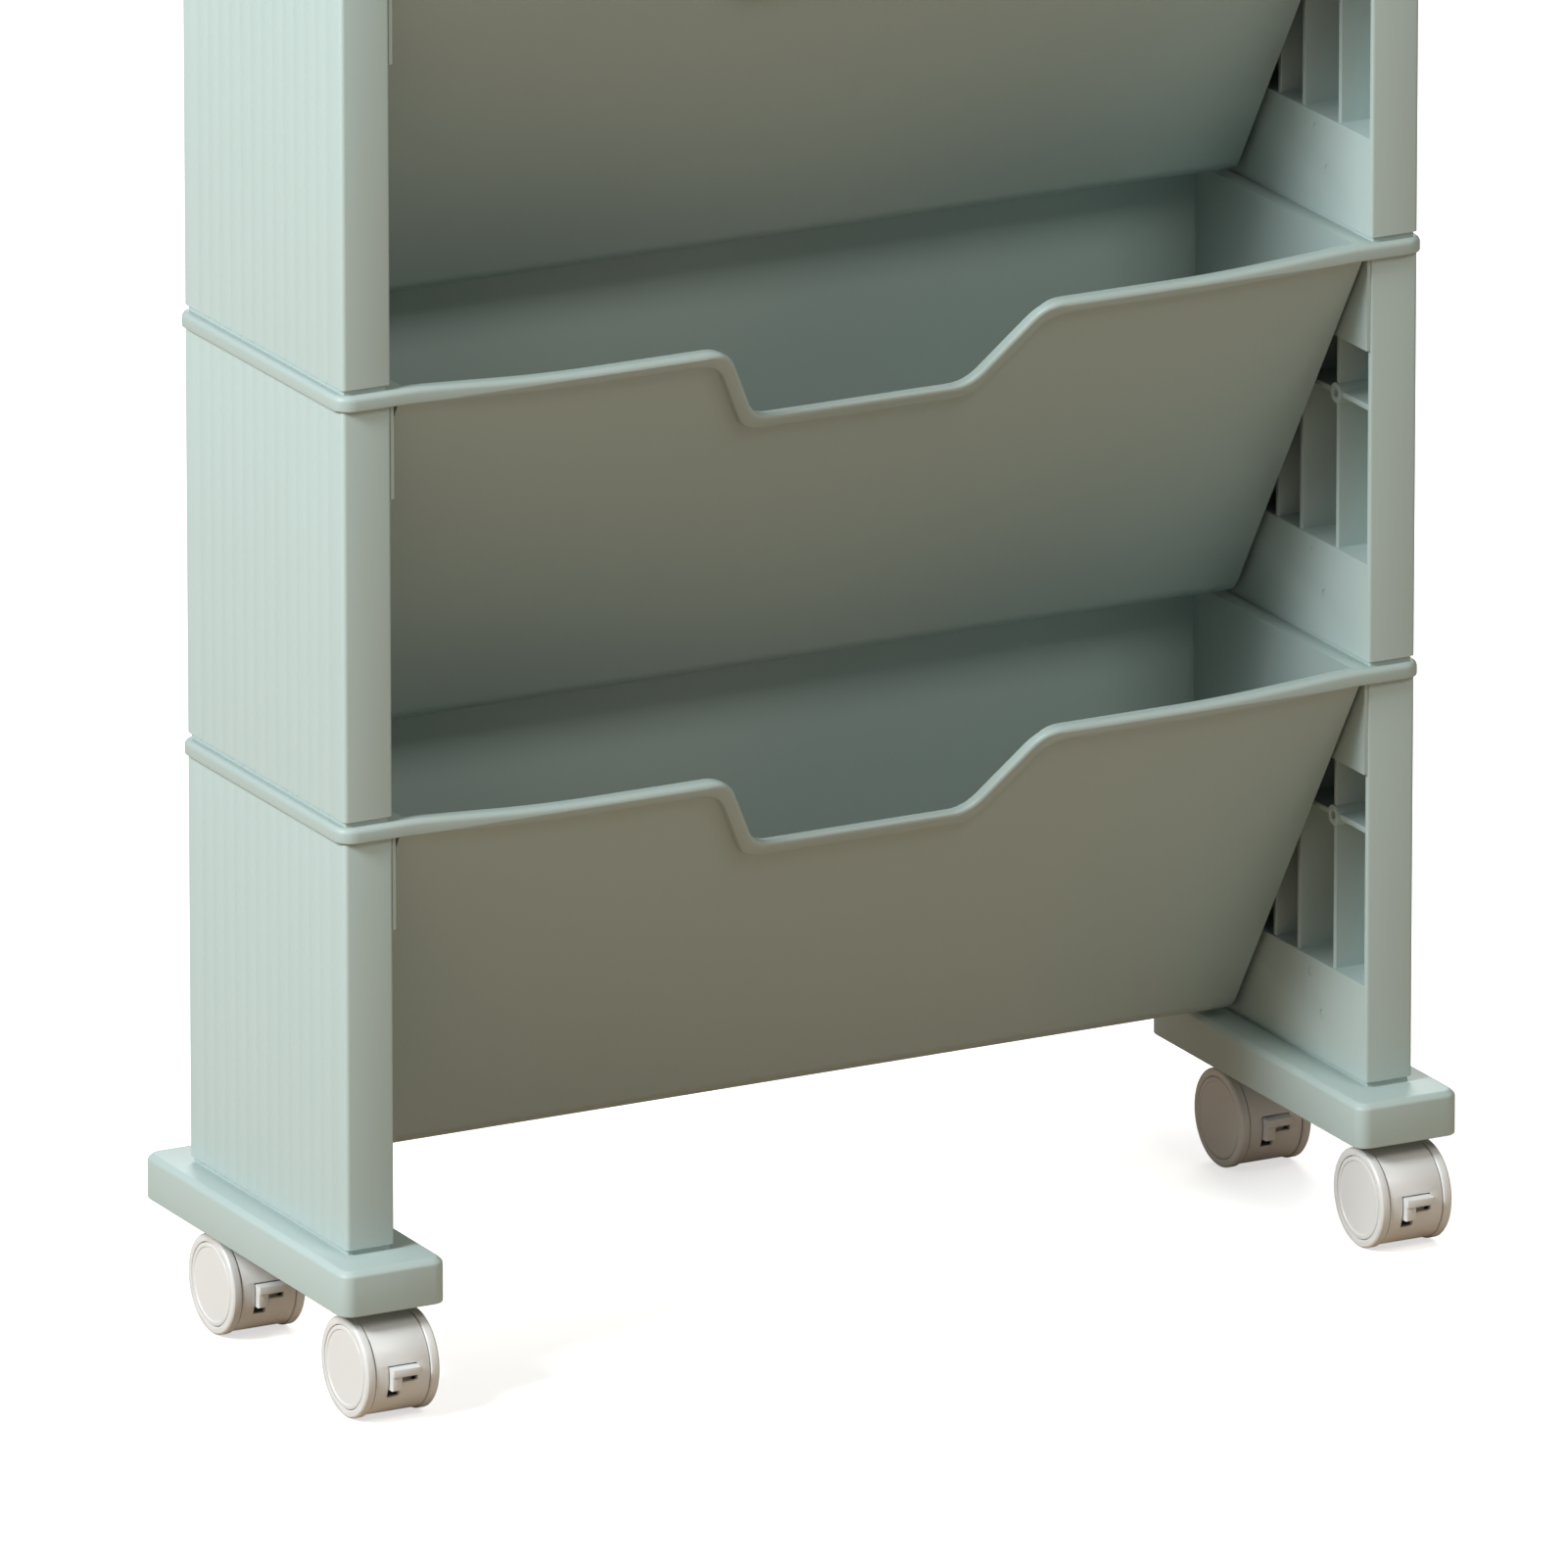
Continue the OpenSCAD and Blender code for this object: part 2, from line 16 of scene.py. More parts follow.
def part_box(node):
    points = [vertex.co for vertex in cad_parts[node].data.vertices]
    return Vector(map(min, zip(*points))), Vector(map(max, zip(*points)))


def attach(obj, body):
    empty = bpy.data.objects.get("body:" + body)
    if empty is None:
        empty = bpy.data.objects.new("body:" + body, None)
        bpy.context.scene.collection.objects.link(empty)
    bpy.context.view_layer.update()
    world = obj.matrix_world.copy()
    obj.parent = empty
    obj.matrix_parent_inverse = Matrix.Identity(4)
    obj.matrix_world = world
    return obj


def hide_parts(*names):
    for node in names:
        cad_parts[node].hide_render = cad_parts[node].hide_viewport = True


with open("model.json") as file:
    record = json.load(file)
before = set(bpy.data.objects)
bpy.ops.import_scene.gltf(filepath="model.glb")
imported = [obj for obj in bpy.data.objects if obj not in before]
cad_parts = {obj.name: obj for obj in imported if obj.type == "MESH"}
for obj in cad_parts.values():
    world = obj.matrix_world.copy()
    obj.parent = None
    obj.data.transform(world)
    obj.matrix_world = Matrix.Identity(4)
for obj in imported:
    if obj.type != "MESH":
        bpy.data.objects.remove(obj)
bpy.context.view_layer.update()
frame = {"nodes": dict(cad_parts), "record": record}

LOG = logging.getLogger("book_cart")
MM = 0.001
NODE_BODY = {
    node: body
    for body, nodes in frame["record"]["behaviour"]["bodies"].items()
    for node in nodes
}

# Angles between faces: rounded from, shaded smooth up to, and taken as flat below.
SHARP_ANGLE = math.radians(30)
SMOOTH_ANGLE = math.radians(32)
FLAT_ANGLE = math.radians(0.5)

# Points nearer than a gap are joined, and edges shorter than a sliver are cleared.
MERGE_GAP = 0.02 * MM
SWEEP_MERGE_GAP = 0.005 * MM
BEVEL_MERGE_GAP = 0.01 * MM
CUT_SLIVER = 0.01 * MM
BEVEL_SLIVER = 0.005 * MM
CRUMB_FACES = 8

# How near an edge or a point lies to a plane to count as on it, and how square a face is.
NEAR_PLANE = 0.1 * MM
ON_PLANE = 0.01 * MM
SQUARE_ON = 0.999

SIDEWAYS = (0, math.pi / 2, 0)

Colour = tuple[float, float, float]
Point = tuple[float, float, float]
EdgeRule = Callable[["EdgeView"], float]


class Side(Enum):
    """The two sides of the cart, seen from the front."""

    LEFT = "left"
    RIGHT = "right"


class Corner(Enum):
    """The four castor places."""

    FRONT_LEFT = "front_left"
    FRONT_RIGHT = "front_right"
    REAR_LEFT = "rear_left"
    REAR_RIGHT = "rear_right"


class Slot(Enum):
    """The record's material slots."""

    PANEL = "sage_panel"
    TRAY = "sage_tray"
    FOOT = "sage_foot"
    CASTOR = "cream_castor"
    PIN = "steel_pin"


# ---- hand tools ----


@dataclass(frozen=True)
class EdgeView:
    """What an edge rule may ask of one sharp edge, in metres."""

    middle: Vector
    angle: float
    convex: bool


def take(obj: bpy.types.Object) -> None:
    """Select one object alone and make it active.

    Args:
        obj: The object to work on.
    """
    bpy.ops.object.select_all(action="DESELECT")
    obj.select_set(True)
    bpy.context.view_layer.objects.active = obj


@contextmanager
def editing(obj: bpy.types.Object) -> Iterator[None]:
    """Hold an object in edit mode with nothing selected.

    Args:
        obj: The mesh object to edit.
    """
    take(obj)
    bpy.ops.object.mode_set(mode="EDIT")
    bpy.ops.mesh.select_all(action="DESELECT")
    yield
    bpy.ops.object.mode_set(mode="OBJECT")


def pick_faces(obj: bpy.types.Object, wanted: Callable[[bmesh.types.BMFace], bool]) -> None:
    """Select the faces that a rule takes, in edit mode.

    Args:
        obj: The object in edit mode.
        wanted: Says whether a face is taken.
    """
    bpy.ops.mesh.select_mode(type="FACE")
    mesh = bmesh.from_edit_mesh(obj.data)
    for face in mesh.faces:
        face.select_set(wanted(face))
    bmesh.update_edit_mesh(obj.data)


def pick_edges(obj: bpy.types.Object, wanted: Callable[[bmesh.types.BMEdge], bool]) -> None:
    """Select the edges that a rule takes, in edit mode.

    Args:
        obj: The object in edit mode.
        wanted: Says whether an edge is taken.
    """
    bpy.ops.mesh.select_mode(type="EDGE")
    mesh = bmesh.from_edit_mesh(obj.data)
    for edge in mesh.edges:
        edge.select_set(wanted(edge))
    bmesh.update_edit_mesh(obj.data)


def grid_piece(
    name: str,
    columns: int,
    rows: int,
    place: Callable[[int, int], Vector],
) -> bpy.types.Object:
    """Add a grid and lay its vertices over a closed shape.

    Args:
        name: The piece's name.
        columns: Vertices across the grid.
        rows: Vertices up the grid.
        place: Gives a vertex's place in millimetres from its column and row; opposite
            sides of the grid have to meet.

    Returns:
        The closed piece, with its faces pointing outwards.
    """
    bpy.ops.object.select_all(action="DESELECT")
    bpy.ops.mesh.primitive_grid_add(x_subdivisions=columns - 1, y_subdivisions=rows - 1, size=2)
    obj = bpy.context.object
    obj.name = name
    for vertex in obj.data.vertices:
        i = round((vertex.co.x + 1) / 2 * (columns - 1))
        j = round((vertex.co.y + 1) / 2 * (rows - 1))
        vertex.co = place(i, j) * MM
    with editing(obj):
        bpy.ops.mesh.select_all(action="SELECT")
        bpy.ops.mesh.remove_doubles(threshold=SWEEP_MERGE_GAP)
        bpy.ops.mesh.normals_make_consistent(inside=False)
    return obj


def apply_modifier(obj: bpy.types.Object, modifier: bpy.types.Modifier) -> None:
    """Apply one modifier to its object."""
    take(obj)
    bpy.ops.object.modifier_apply(modifier=modifier.name)


def cut(obj: bpy.types.Object, waste: bpy.types.Object) -> None:
    """Cut one body out of another and use it up.

    Args:
        obj: The body that stays.
        waste: The body that is cut away.
    """
    step = obj.modifiers.new("cut", "BOOLEAN")
    step.operation = "DIFFERENCE"
    step.solver = "EXACT"
    step.object = waste
    apply_modifier(obj, step)
    bpy.data.objects.remove(waste)


def island_of(face: bmesh.types.BMFace) -> set[bmesh.types.BMFace]:
    """Walk from a face over every edge that joins just two faces.

    Args:
        face: The face to start from.

    Returns:
        The faces that are reached.
    """
    island = {face}
    front = [face]
    while front:
        for edge in front.pop().edges:
            if len(edge.link_faces) == 2:
                fresh = set(edge.link_faces) - island
                island |= fresh
                front += fresh
    return island


def clear_crumbs(obj: bpy.types.Object) -> None:
    """Delete the islands of only a few faces that a cut leaves beside its body.

    Args:
        obj: The object in edit mode.
    """
    bpy.ops.mesh.select_mode(type="FACE")
    bpy.ops.mesh.select_all(action="DESELECT")
    mesh = bmesh.from_edit_mesh(obj.data)
    waiting = set(mesh.faces)
    while waiting:
        island = island_of(next(iter(waiting)))
        waiting -= island
        if len(island) <= CRUMB_FACES:
            for face in island:
                face.select_set(True)
    bmesh.update_edit_mesh(obj.data)
    bpy.ops.mesh.delete(type="FACE")


def weld(obj: bpy.types.Object) -> None:
    """Join the close points that a cut leaves, and clear its slivers and crumbs.

    Args:
        obj: The mesh object.
    """
    with editing(obj):
        bpy.ops.mesh.select_all(action="SELECT")
        bpy.ops.mesh.remove_doubles(threshold=MERGE_GAP)
        bpy.ops.mesh.dissolve_degenerate(threshold=CUT_SLIVER)
        clear_crumbs(obj)


def smooth(obj: bpy.types.Object) -> None:
    """Shade an object smooth, up to the sharp edges."""
    take(obj)
    bpy.ops.object.shade_smooth_by_angle(angle=SMOOTH_ANGLE)


def merged_copy(node: str, name: str) -> bpy.types.Object:
    """Copy a CAD node's mesh, join its loose triangles and clear its flat seams.

    Args:
        node: The CAD node's name.
        name: The new object's name.

    Returns:
        The copy, at the origin.
    """
    obj = bpy.data.objects.new(name, frame["nodes"][node].data.copy())
    bpy.context.scene.collection.objects.link(obj)
    with editing(obj):
        bpy.ops.mesh.select_all(action="SELECT")
        bpy.ops.mesh.remove_doubles(threshold=MERGE_GAP)
        bpy.ops.mesh.dissolve_limited(angle_limit=FLAT_ANGLE, delimit=set())
    take(obj)
    bpy.ops.mesh.customdata_custom_splitnormals_clear()
    return obj


def soften_edges(obj: bpy.types.Object, rule: EdgeRule, segments: int = 3) -> None:
    """Round the sharp edges of a mesh, each to the width that a rule gives.

    Args:
        obj: The mesh object.
        rule: Gives the rounding width of an edge in metres, or 0 to leave it sharp.
        segments: Steps across each rounding.
    """
    mesh = bmesh.new()
    mesh.from_mesh(obj.data)
    layers = mesh.edges.layers.float
    layer = layers.get("bevel_weight_edge") or layers.new("bevel_weight_edge")
    widths: dict[int, float] = {}
    for edge in mesh.edges:
        if not edge.is_manifold or edge.calc_face_angle() < SHARP_ANGLE:
            continue
        a, b = edge.verts[0].co, edge.verts[1].co
        view = EdgeView((a + b) / 2, edge.calc_face_angle(), edge.is_convex)
        widths[edge.index] = rule(view)
    widest = max(widths.values(), default=0.0)
    if widest <= 0:
        mesh.free()
        return
    mesh.edges.ensure_lookup_table()
    for index, width in widths.items():
        mesh.edges[index][layer] = width / widest
    mesh.to_mesh(obj.data)
    mesh.free()
    bevel = obj.modifiers.new("soft_edges", "BEVEL")
    bevel.limit_method = "WEIGHT"
    bevel.width = widest
    bevel.segments = segments
    bevel.use_clamp_overlap = False
    bevel.miter_outer = "MITER_SHARP"
    apply_modifier(obj, bevel)
    with editing(obj):
        bpy.ops.mesh.select_all(action="SELECT")
        bpy.ops.mesh.remove_doubles(threshold=BEVEL_MERGE_GAP)
        bpy.ops.mesh.dissolve_degenerate(threshold=BEVEL_SLIVER)


def box_centre(node: str) -> Vector:
    """Middle of a CAD node's box."""
    low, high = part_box(node)
    return (low + high) / 2


def finish_piece(
    obj: bpy.types.Object, nodes: tuple[str, ...], slot: Slot, finishes: "Finishes"
) -> None:
    """Give a finished piece its slot's material and its body, shade it smooth, and hide the CAD
    nodes that it stands for.

    Args:
        obj: The finished piece.
        nodes: The CAD nodes that it replaces; it rides with the first.
        slot: The record's slot for its finish.
        finishes: The cart's materials.
    """
    obj.data.materials.clear()
    obj.data.materials.append(finishes.by_slot[slot])
    smooth(obj)
    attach(obj, NODE_BODY[nodes[0]])
    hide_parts(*nodes)
    LOG.info("%s: %d faces, rides on %s", obj.name, len(obj.data.polygons), NODE_BODY[nodes[0]])


def placed_copy(master: bpy.types.Object, name: str, shift: Vector) -> bpy.types.Object:
    """Copy a modelled piece with its own mesh, moved by a shift within the mesh.

    Args:
        master: The modelled piece.
        name: The copy's name.
        shift: How far the copy's mesh is moved.

    Returns:
        The copy, with its object at the origin.
    """
    obj = bpy.data.objects.new(name, master.data.copy())
    obj.data.transform(Matrix.Translation(shift))
    bpy.context.scene.collection.objects.link(obj)
    return obj


def sideways_cylinder(
    centre: Vector, radius: float, length: float, sides: int
) -> bpy.types.Object:
    """Add a cylinder that lies along X.

    Args:
        centre: Its middle.
        radius: Its radius.
        length: Its length along X.
        sides: How many sides stand for its round face.

    Returns:
        The cylinder, with its object at the origin.
    """
    bpy.ops.object.select_all(action="DESELECT")
    bpy.ops.mesh.primitive_cylinder_add(
        vertices=sides, radius=radius, depth=length, location=centre, rotation=SIDEWAYS
    )
    bpy.ops.object.transform_apply(location=True, rotation=True, scale=True)
    return bpy.context.object


# ---- finishes ----


class NodeSheet:
    """A small drawing board for a node tree."""

    def __init__(self, tree: bpy.types.NodeTree) -> None:
        """Start on a tree, empty of nodes."""
        self.tree = tree
        tree.nodes.clear()

    def add(
        self, kind: str, inputs: dict[str | int, object] | None = None, **settings: object
    ) -> bpy.types.Node:
        """Add a node with its settings and input values.

        Args:
            kind: The node's type name.
            inputs: Values or output sockets by input name or number.
            settings: The node's own properties.

        Returns:
            The new node.
        """
        node = self.tree.nodes.new(kind)
        for key, value in settings.items():
            setattr(node, key, value)
        for key, value in (inputs or {}).items():
            if isinstance(value, bpy.types.NodeSocket):
                self.tree.links.new(value, node.inputs[key])
            else:
                node.inputs[key].default_value = value
        return node


def node_group(
    name: str, inputs: dict[str, tuple[str, object]], outputs: dict[str, str]
) -> tuple[bpy.types.NodeTree, NodeSheet, bpy.types.Node]:
    """Start a shader node group with named sockets.

    Args:
        name: The group's name.
        inputs: Socket type and starting value by input name.
        outputs: Socket type by output name.

    Returns:
        The tree, its drawing sheet and its input node.
    """
    tree = bpy.data.node_groups.new(name, "ShaderNodeTree")
    for label, (kind, value) in inputs.items():
        socket = tree.interface.new_socket(label, in_out="INPUT", socket_type=kind)
        socket.default_value = value
    for label, kind in outputs.items():
        tree.interface.new_socket(label, in_out="OUTPUT", socket_type=kind)
    sheet = NodeSheet(tree)
    return tree, sheet, sheet.add("NodeGroupInput")


def start_material(name: str) -> tuple[bpy.types.Material, NodeSheet]:
    """Start a material of nodes.

    Args:
        name: The material's name.

    Returns:
        The material and its empty sheet.
    """
    made = bpy.data.materials.new(name)
    made.use_nodes = True
    return made, NodeSheet(made.node_tree)


def seen_or_felt(sheet: NodeSheet, seen: bpy.types.Node, felt: bpy.types.Node) -> bpy.types.Node:
    """Show one shader to the camera and another to the rays that light the cart.

    Args:
        sheet: The sheet of the material or world.
        seen: The shader that the camera sees.
        felt: The shader that lights the cart.

    Returns:
        The mixing node.
    """
    path = sheet.add("ShaderNodeLightPath")
    return sheet.add(
        "ShaderNodeMixShader",
        {0: path.outputs["Is Camera Ray"], 1: felt.outputs[0], 2: seen.outputs[0]},
    )


def tone_group() -> bpy.types.NodeTree:
    """Slow drift of tone through moulded plastic.

    Returns:
        A group from a base colour to a drifting colour.
    """
    tree, sheet, given = node_group(
        "moulding_tone",
        {
            "Base": ("NodeSocketColor", (0.5, 0.5, 0.5, 1)),
            "Deep": ("NodeSocketColor", (0.4, 0.4, 0.4, 1)),
            "Scale": ("NodeSocketFloat", 14.0),
            "Amount": ("NodeSocketFloat", 0.2),
        },
        {"Color": "NodeSocketColor"},
    )
    place = sheet.add("ShaderNodeTexCoord")
    cloud = sheet.add(
        "ShaderNodeTexNoise",
        {
            "Vector": place.outputs["Object"],
            "Scale": given.outputs["Scale"],
            "Detail": 3.0,
            "Roughness": 0.55,
        },
    )
    spread = sheet.add(
        "ShaderNodeMapRange",
        {
            "Value": cloud.outputs["Fac"],
            "From Min": 0.3,
            "From Max": 0.7,
            "To Min": 0.0,
            "To Max": given.outputs["Amount"],
        },
    )
    mix = sheet.add(
        "ShaderNodeMixRGB",
        {
            "Fac": spread.outputs["Result"],
            "Color1": given.outputs["Base"],
            "Color2": given.outputs["Deep"],
        },
    )
    sheet.add("NodeGroupOutput", {"Color": mix.outputs["Color"]})
    return tree


def grain_group() -> bpy.types.NodeTree:
    """Fine eroded grain of a mould's surface, and the slower drift of its gloss.

    Returns:
        A group giving a height in metres and a roughness.
    """
    tree, sheet, given = node_group(
        "mould_grain",
        {
            "Scale": ("NodeSocketFloat", 1800.0),
            "Depth": ("NodeSocketFloat", 0.00001),
            "Roughness": ("NodeSocketFloat", 0.45),
            "Gloss Spread": ("NodeSocketFloat", 0.06),
        },
        {"Height": "NodeSocketFloat", "Roughness": "NodeSocketFloat"},
    )
    place = sheet.add("ShaderNodeTexCoord")
    fine = sheet.add(
        "ShaderNodeTexNoise",
        {
            "Vector": place.outputs["Object"],
            "Scale": given.outputs["Scale"],
            "Detail": 2.0,
            "Roughness": 0.6,
        },
    )
    height = sheet.add(
        "ShaderNodeMath",
        {0: fine.outputs["Fac"], 1: given.outputs["Depth"]},
        operation="MULTIPLY",
    )
    handling = sheet.add(
        "ShaderNodeTexNoise", {"Vector": place.outputs["Object"], "Scale": 31.0, "Detail": 4.0}
    )
    signed = sheet.add(
        "ShaderNodeMath", {0: handling.outputs["Fac"], 1: 0.5}, operation="SUBTRACT"
    )
    gloss = sheet.add(
        "ShaderNodeMath",
        {0: signed.outputs[0], 1: given.outputs["Gloss Spread"], 2: given.outputs["Roughness"]},
        operation="MULTIPLY_ADD",
    )
    sheet.add("NodeGroupOutput", {"Height": height.outputs[0], "Roughness": gloss.outputs[0]})
    return tree


@dataclass(frozen=True)
class SharedGroups:
    """The node groups that the finishes share."""

    tone: bpy.types.NodeTree = field(default_factory=tone_group)
    grain: bpy.types.NodeTree = field(default_factory=grain_group)


@dataclass(frozen=True)
class Grain:
    """How a surface takes the shared grain: its scale, depth in metres and gloss."""

    scale: float = 1500.0
    depth: float = 0.000012
    roughness: float = 0.45
    gloss_spread: float = 0.10

    def drive(self, sheet: NodeSheet, groups: SharedGroups) -> dict[str, bpy.types.NodeSocket]:
        """Add the grain to a material's sheet.

        Args:
            sheet: The material's sheet.
            groups: The shared node groups.

        Returns:
            The sockets that drive the shader's roughness and normal, by input name.
        """
        skin = sheet.add(
            "ShaderNodeGroup",
            {
                "Scale": self.scale,
                "Depth": self.depth,
                "Roughness": self.roughness,
                "Gloss Spread": self.gloss_spread,
            },
            node_tree=groups.grain,
        )
        bump = sheet.add(
            "ShaderNodeBump",
            {"Height": skin.outputs["Height"], "Strength": 1.0, "Distance": 1.0},
        )
        return {"Roughness": skin.outputs["Roughness"], "Normal": bump.outputs["Normal"]}


@dataclass(frozen=True)
class MouldedPlastic:
    """A moulded plastic: its tones, its gloss and its grain."""

    name: str
    base: Colour
    deep: Colour
    grain: Grain
    tone_scale: float = 9.0
    tone_amount: float = 0.35
    specular: float = 0.45

    def material(self, groups: SharedGroups) -> bpy.types.Material:
        """Make the material.

        Args:
            groups: The shared node groups.

        Returns:
            The finished material.
        """
        made, sheet = start_material(self.name)
        colour = sheet.add(
            "ShaderNodeGroup",
            {
                "Base": (*self.base, 1),
                "Deep": (*self.deep, 1),
                "Scale": self.tone_scale,
                "Amount": self.tone_amount,
            },
            node_tree=groups.tone,
        )
        shader = sheet.add(
            "ShaderNodeBsdfPrincipled",
            {
                "Base Color": colour.outputs["Color"],
                "Specular IOR Level": self.specular,
                **self.grain.drive(sheet, groups),
            },
        )
        sheet.add("ShaderNodeOutputMaterial", {"Surface": shader.outputs["BSDF"]})
        return made


@dataclass(frozen=True)
class BrightSteel:
    """Zinc-plated steel."""

    name: str
    base: Colour = (0.62, 0.63, 0.65)
    grain: Grain = Grain(scale=2600.0, depth=0.000006, roughness=0.28, gloss_spread=0.12)

    def material(self, groups: SharedGroups) -> bpy.types.Material:
        """Make the material.

        Args:
            groups: The shared node groups.

        Returns:
            The finished material.
        """
        made, sheet = start_material(self.name)
        shader = sheet.add(
            "ShaderNodeBsdfPrincipled",
            {
                "Base Color": (*self.base, 1),
                "Metallic": 1.0,
                **self.grain.drive(sheet, groups),
            },
        )
        sheet.add("ShaderNodeOutputMaterial", {"Surface": shader.outputs["BSDF"]})
        return made


SAGE: Colour = (0.455, 0.552, 0.535)
DEEP_SAGE: Colour = (0.415, 0.515, 0.495)
# The trays' sage is the panels' sage darkened as painted shade, for the shade that falls on the
# slanted tray fronts between the side panels and under the trays above.
SHADED_TRAY_SAGE: Colour = (0.405, 0.49, 0.47)
CREAM: Colour = (0.74, 0.745, 0.735)
DEEP_CREAM: Colour = (0.70, 0.70, 0.685)
RECIPES = {
    Slot.PANEL: MouldedPlastic("sage_panel_plastic", SAGE, DEEP_SAGE, Grain(roughness=0.50)),
    # The tray finish takes the darkened sage: painted shade on the same plastic as the panels.
    Slot.TRAY: MouldedPlastic("sage_tray_plastic_painted_shade", SHADED_TRAY_SAGE, DEEP_SAGE, Grain(roughness=0.46)),
    Slot.FOOT: MouldedPlastic("sage_foot_plastic", SAGE, DEEP_SAGE, Grain(roughness=0.46)),
    Slot.CASTOR: MouldedPlastic(
        "cream_castor_plastic",
        CREAM,
        DEEP_CREAM,
        Grain(depth=0.000006, roughness=0.34),
        tone_scale=30.0,
    ),
    Slot.PIN: BrightSteel("bright_steel"),
}


@dataclass
class Finishes:
    """Every material of the cart, by record slot."""

    by_slot: dict[Slot, bpy.types.Material] = field(default_factory=dict)

    def build(self) -> None:
        """Make the shared groups once and every material from them."""
        groups = SharedGroups()
        self.by_slot = {slot: finish.material(groups) for slot, finish in RECIPES.items()}

    def dress_node(self, node: str, slot: Slot) -> None:
        """Put a finish on a CAD node that stays in view."""
        for holder in frame["nodes"][node].material_slots:
            holder.material = self.by_slot[slot]


# ---- sub-assemblies ----


def quarter_arc(
    centre: tuple[float, float], radius: float, first: float, steps: int
) -> list[tuple[float, float]]:
    """Lay points round a quarter turn.

    Args:
        centre: The arc's centre.
        radius: The arc's radius.
        first: The starting angle in degrees.
        steps: How many steps the quarter turn has.

    Returns:
        The points, one more than the steps.
    """
    angles = [math.radians(first + 90 * step / steps) for step in range(steps + 1)]
    return [
        (centre[0] + radius * math.cos(angle), centre[1] + radius * math.sin(angle))
        for angle in angles
    ]


@dataclass
class RimEdge:
    """The shaped top edge of a tray's front, in millimetres from the rim's middle and top.

    The radii are how far each corner's rounding reaches along the edge, left to right.
    """

    end_x: float = 173.0
    dip_start_x: float = 167.0
    dip_end_x: float = 121.0
    dip: float = 3.0
    notch_top: float = 57.0
    notch_bottom: float = 38.5
    notch_depth: float = 32.0
    radii: tuple[float, ...] = (0, 5, 20, 7, 6, 6, 7, 20, 5, 0)
    steps: int = 6

    def corners(self) -> list[Vector]:
        """List the edge's corners before they are rounded.

        Returns:
            The corners, left to right, as X and Z.
        """
        left = [
            (-self.end_x, 0.0),
            (-self.dip_start_x, 0.0),
            (-self.dip_end_x, -self.dip),
            (-self.notch_top, -self.dip),
            (-self.notch_bottom, -self.notch_depth),
        ]
        return [Vector(p) for p in left] + [Vector((-x, z)) for x, z in reversed(left)]

    def lowered(self, gap: float) -> list[Vector]:
        """Round the edge and move it down square to itself.

        Args:
            gap: How far it is moved, in millimetres.

        Returns:
            Its points, as X and Z, with the same count for every gap.
        """
        raw = self.corners()
        last = len(raw) - 1
        moved = []
        for i, corner in enumerate(raw):
            before = (raw[max(i, 1)] - raw[max(i - 1, 0)]).normalized()
            after = (raw[min(i + 1, last)] - raw[min(i, last - 1)]).normalized()
            n1, n2 = Vector((before.y, -before.x)), Vector((after.y, -after.x))
            moved.append(corner + gap * (n1 + n2) / (1 + n1.dot(n2)))
        line = [moved[0]]
        for i in range(1, last):
            start = moved[i] + self.radii[i] * (moved[i - 1] - moved[i]).normalized()
            end = moved[i] + self.radii[i] * (moved[i + 1] - moved[i]).normalized()
            for step in range(self.steps + 1):
                t = step / self.steps
                line.append((1 - t) ** 2 * start + 2 * t * (1 - t) * moved[i] + t**2 * end)
        return line + [moved[last]]


@dataclass(frozen=True)
class Station:
    """One stop of the sweep round a rim, in millimetres.

    Either the section stands between two points of the front's edge (X and Z), or it lies
    level at a corner's centre (X and Y) and faces outward.
    """

    first: tuple[float, float]
    second: tuple[float, float] | None = None
    outward: tuple[float, float] | None = None


